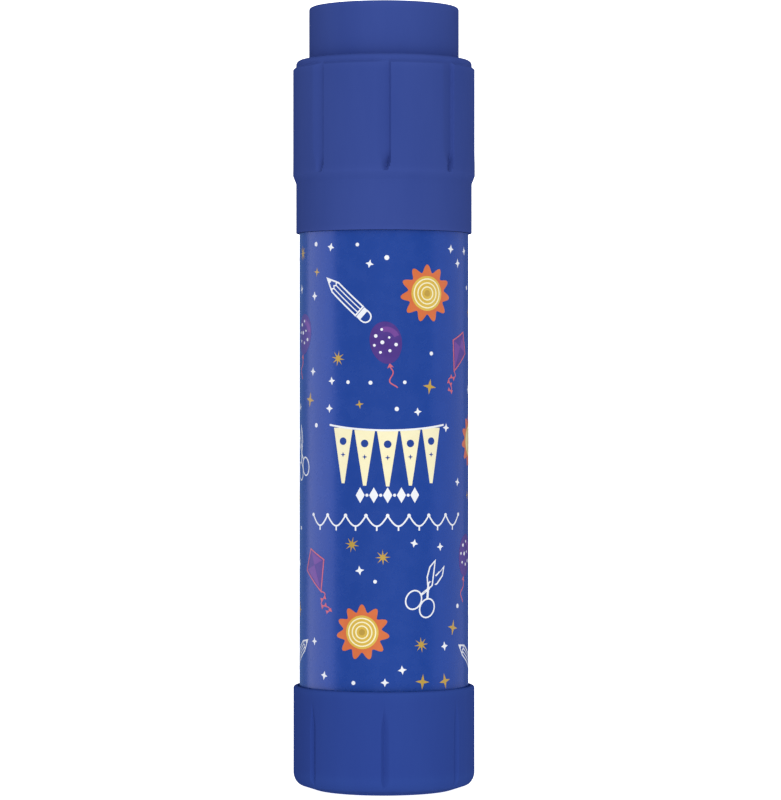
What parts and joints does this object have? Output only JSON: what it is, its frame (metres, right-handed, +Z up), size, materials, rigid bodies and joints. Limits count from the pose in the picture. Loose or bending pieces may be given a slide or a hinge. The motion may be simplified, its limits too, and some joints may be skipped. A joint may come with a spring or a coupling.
{
  "type": "glue stick",
  "caption": "Round twist-up glue stick: fluted cap with a sealing ring, labelled barrel, and a fluted base that turns a threaded spindle to lift the glue.",
  "frame": {"origin": "centre of the flat foot of the turning base, on the stick's axis", "axes": "+Z up along the stick's axis towards the cap, -Y towards the front of the label, +X to the right of it"},
  "size_m": [0.02, 0.02, 0.0861],
  "materials": {
    "blue_pp": "satin moulded blue polypropylene",
    "printed_film": "satin printed blue polypropylene film",
    "white_pp": "satin moulded white polypropylene",
    "natural_pp": "natural moulded polypropylene",
    "natural_pe": "natural moulded polyethylene",
    "glue": "soapy off-white solid glue",
    "seal_rubber": "matt black rubber"
  },
  "bodies": {
    "barrel_body": {"barrel": "white_pp", "label_sleeve": "printed_film"},
    "knob_drive": {"knob": "blue_pp", "spindle": "natural_pp", "spindle_packing_ring": "seal_rubber"},
    "glue_carriage": {"carrier_cup": "natural_pp", "glue_column": "glue"},
    "cap": {"cap_shell": "blue_pp", "cap_inner_plug": "natural_pe"}
  },
  "joints": [
    {"name": "knob_turn", "type": "hinge", "parent": "barrel_body", "child": "knob_drive", "pos_m": [0, 0, 0.012], "axis": [0, 0, 1], "range_deg": [0, 3600]},
    {"name": "glue_feed", "type": "slide", "parent": "barrel_body", "child": "glue_carriage", "axis": [0, 0, 1], "range_m": [0, 0.05]},
    {"name": "cap_pull", "type": "slide", "parent": "glue_carriage", "child": "cap", "axis": [0, 0, 1], "range_m": [0, 0.04]}
  ],
  "couplings": [
    {"joint": "knob_turn", "follows": "glue_feed", "rad_per_m": 1256.6}
  ]
}
